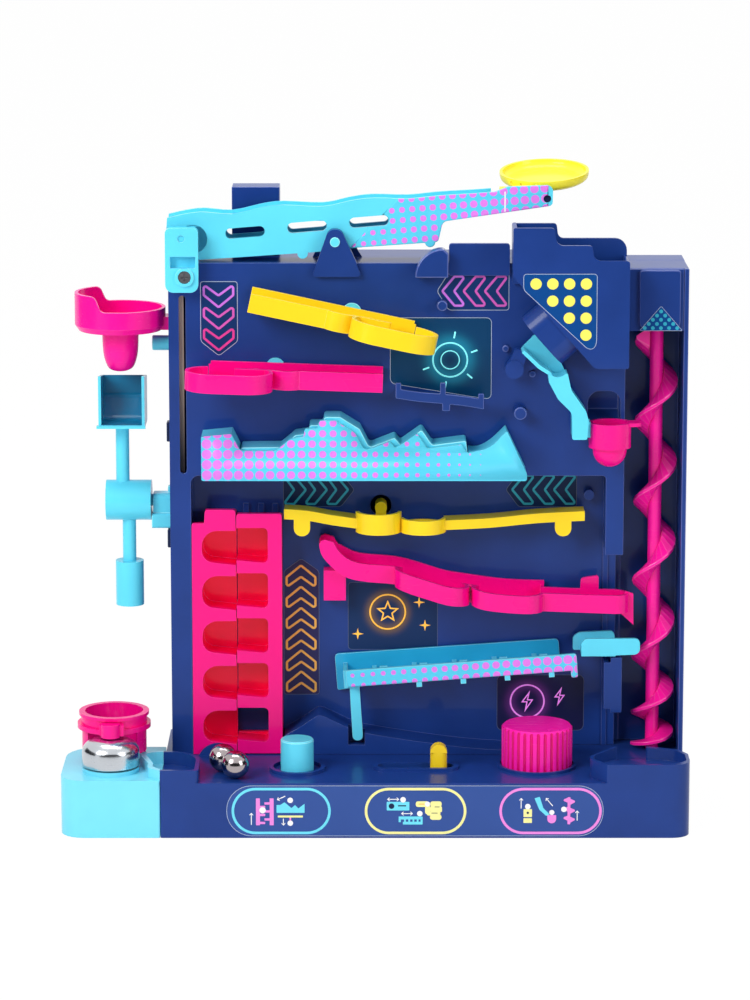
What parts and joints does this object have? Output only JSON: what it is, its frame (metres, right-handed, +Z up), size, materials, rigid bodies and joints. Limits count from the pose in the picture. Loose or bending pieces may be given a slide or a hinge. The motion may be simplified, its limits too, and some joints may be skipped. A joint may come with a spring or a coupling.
{
  "type": "marble run",
  "caption": "Upright tabletop marble run on a base, with rocking tracks, a stepping ladder, a lift screw, a swing arm, a tipping scoop and a bell, worked by button, slider and knob.",
  "frame": {"origin": "on the table under the base, midway along the object and in the plane of the front panel", "axes": "+X to the player's right, +Y away from the player, +Z up"},
  "size_m": [0.3128, 0.105, 0.3267],
  "materials": {
    "navy_plastic": "glossy moulded plastic, deep blue",
    "cyan_plastic": "glossy moulded plastic, sky blue",
    "pink_plastic": "glossy moulded plastic, hot pink",
    "yellow_plastic": "glossy moulded plastic, yellow",
    "inner_plastic": "plain moulded plastic, light grey",
    "polished_steel": "polished steel",
    "screw_steel": "zinc-plated steel"
  },
  "bodies": {
    "housing": {"base_tub": "navy_plastic", "base_cover": "navy_plastic", "bell_stand": "cyan_plastic", "front_panel": "navy_plastic", "recess_tray": "navy_plastic", "rear_housing": "navy_plastic", "screw_column": "navy_plastic", "column_cap": "navy_plastic", "exit_chute": "navy_plastic", "hopper": "navy_plastic", "rear_tower": "navy_plastic", "beam_bracket": "navy_plastic", "beam_stop": "navy_plastic", "end_block": "cyan_plastic", "housing_screws": "screw_steel", "track_shelf": "navy_plastic", "deflector_pegs": "navy_plastic", "hill_front": "cyan_plastic", "ladder_fixed": "pink_plastic", "lower_pink_track": "pink_plastic", "comb_rail": "cyan_plastic", "catch_tray": "cyan_plastic", "left_cup": "pink_plastic", "cup_peg": "cyan_plastic", "pendulum_bracket": "cyan_plastic", "bell_ring": "pink_plastic", "bell": "polished_steel", "button_spring": "screw_steel"},
    "button": {"push_button": "cyan_plastic"},
    "rocker": {"button_rocker": "inner_plastic"},
    "lift": {"ladder_riser": "pink_plastic", "lift_yoke": "inner_plastic", "hill_mover": "cyan_plastic"},
    "gate": {"gate_bar": "yellow_plastic"},
    "slider": {"slider_lever": "yellow_plastic", "slider_carriage": "inner_plastic"},
    "transfer": {"transfer_lever": "inner_plastic"},
    "link": {"link_bar": "inner_plastic"},
    "yellow_rocker": {"yellow_track": "yellow_plastic", "yellow_crank": "cyan_plastic"},
    "pink_rocker": {"pink_track": "pink_plastic", "pink_crank": "cyan_plastic"},
    "beam": {"top_beam": "cyan_plastic", "catch_dish": "yellow_plastic", "beam_pin": "cyan_plastic"},
    "comb": {"comb_shuttle": "cyan_plastic"},
    "knob": {"control_knob": "pink_plastic", "knob_gear": "inner_plastic"},
    "idler": {"idler_gear": "inner_plastic"},
    "screw": {"lift_screw": "pink_plastic", "screw_core": "pink_plastic", "screw_gear": "inner_plastic"},
    "arm": {"swing_arm": "cyan_plastic", "arm_cup": "pink_plastic", "arm_hub": "navy_plastic"},
    "lifter": {"ball_lifter": "yellow_plastic"},
    "pendulum": {"pendulum": "cyan_plastic", "counterweight": "screw_steel"},
    "ball_a": {"steel_ball_a": "polished_steel"},
    "ball_b": {"steel_ball_b": "polished_steel"}
  },
  "joints": [
    {"name": "ladder_lift", "type": "slide", "parent": "housing", "child": "lift", "axis": [0, 0, 1], "range_m": [0, 0.011]},
    {"name": "button_press", "type": "slide", "parent": "housing", "child": "button", "axis": [0, 0, -1], "range_m": [0, 0.0055], "stiffness_N_per_m": 120, "springref_m": -0.008, "deforming": ["button_spring"]},
    {"name": "rocker_turn", "type": "hinge", "parent": "housing", "child": "rocker", "pos_m": [-0.048, -0.016, 0.012], "axis": [1, 0, 0], "range_deg": [0, 26.3]},
    {"name": "gate_drop", "type": "slide", "parent": "housing", "child": "gate", "axis": [0, 0, -1], "range_m": [0, 0.002]},
    {"name": "slider_shift", "type": "slide", "parent": "housing", "child": "slider", "axis": [1, 0, 0], "range_m": [-0.025, 0]},
    {"name": "transfer_turn", "type": "hinge", "parent": "housing", "child": "transfer", "pos_m": [0.0235, 0.0355, 0.15], "axis": [0, 1, 0], "range_deg": [0, 10.7]},
    {"name": "link_shift", "type": "slide", "parent": "housing", "child": "link", "axis": [1, 0, 0], "range_m": [0, 0.0085]},
    {"name": "yellow_rock", "type": "hinge", "parent": "housing", "child": "yellow_rocker", "pos_m": [-0.0115, 0, 0.2557], "axis": [0, -1, 0], "range_deg": [0, 8]},
    {"name": "pink_rock", "type": "hinge", "parent": "housing", "child": "pink_rocker", "pos_m": [-0.0497, 0, 0.228], "axis": [0, -1, 0], "range_deg": [0, 14.7]},
    {"name": "beam_rock", "type": "hinge", "parent": "housing", "child": "beam", "pos_m": [-0.0199, 0.012, 0.2911], "axis": [0, 1, 0], "range_deg": [0, 7]},
    {"name": "comb_shift", "type": "slide", "parent": "housing", "child": "comb", "axis": [-0.9971, 0, -0.0758], "range_m": [0, 0.01]},
    {"name": "knob_turn", "type": "hinge", "parent": "housing", "child": "knob", "pos_m": [0.0814, -0.0205, 0.03], "axis": [0, 0, 1], "continuous": true},
    {"name": "idler_turn", "type": "hinge", "parent": "housing", "child": "idler", "pos_m": [0.11381, 0.00745, 0.0125], "axis": [0, 0, 1], "continuous": true},
    {"name": "screw_turn", "type": "hinge", "parent": "housing", "child": "screw", "pos_m": [0.1416, 0.014, 0.1], "axis": [0, 0, 1], "continuous": true},
    {"name": "arm_swing", "type": "hinge", "parent": "housing", "child": "arm", "pos_m": [0.0694, -0.006, 0.228], "axis": [0, -1, 0], "range_deg": [-20, 0]},
    {"name": "lifter_rise", "type": "slide", "parent": "housing", "child": "lifter", "axis": [0, 0, 1], "range_m": [0, 0.02]},
    {"name": "pendulum_swing", "type": "hinge", "parent": "housing", "child": "pendulum", "pos_m": [-0.1246, 0.016, 0.157], "axis": [1, 0, 0], "range_deg": [-15, 70]},
    {"name": "ball_a_roll", "type": "slide", "parent": "housing", "child": "ball_a", "axis": [0, 1, 0], "range_m": [0, 0.02]},
    {"name": "ball_b_roll", "type": "slide", "parent": "housing", "child": "ball_b", "axis": [1, 0, 0], "range_m": [0, 0.02]}
  ],
  "couplings": [
    {"joint": "button_press", "follows": "ladder_lift", "ratio": 0.5},
    {"joint": "rocker_turn", "follows": "ladder_lift", "rad_per_m": 41.667},
    {"joint": "gate_drop", "follows": "ladder_lift", "ratio": 0.1818},
    {"joint": "transfer_turn", "follows": "slider_shift", "rad_per_m": -7.44},
    {"joint": "link_shift", "follows": "slider_shift", "ratio": -0.336},
    {"joint": "yellow_rock", "follows": "slider_shift", "rad_per_m": -5.536},
    {"joint": "pink_rock", "follows": "slider_shift", "rad_per_m": -10.18},
    {"joint": "beam_rock", "follows": "slider_shift", "rad_per_m": -4.88},
    {"joint": "comb_shift", "follows": "slider_shift", "ratio": -0.4},
    {"joint": "idler_turn", "follows": "knob_turn", "ratio": -1.1111},
    {"joint": "screw_turn", "follows": "knob_turn", "ratio": 2.7273}
  ]
}
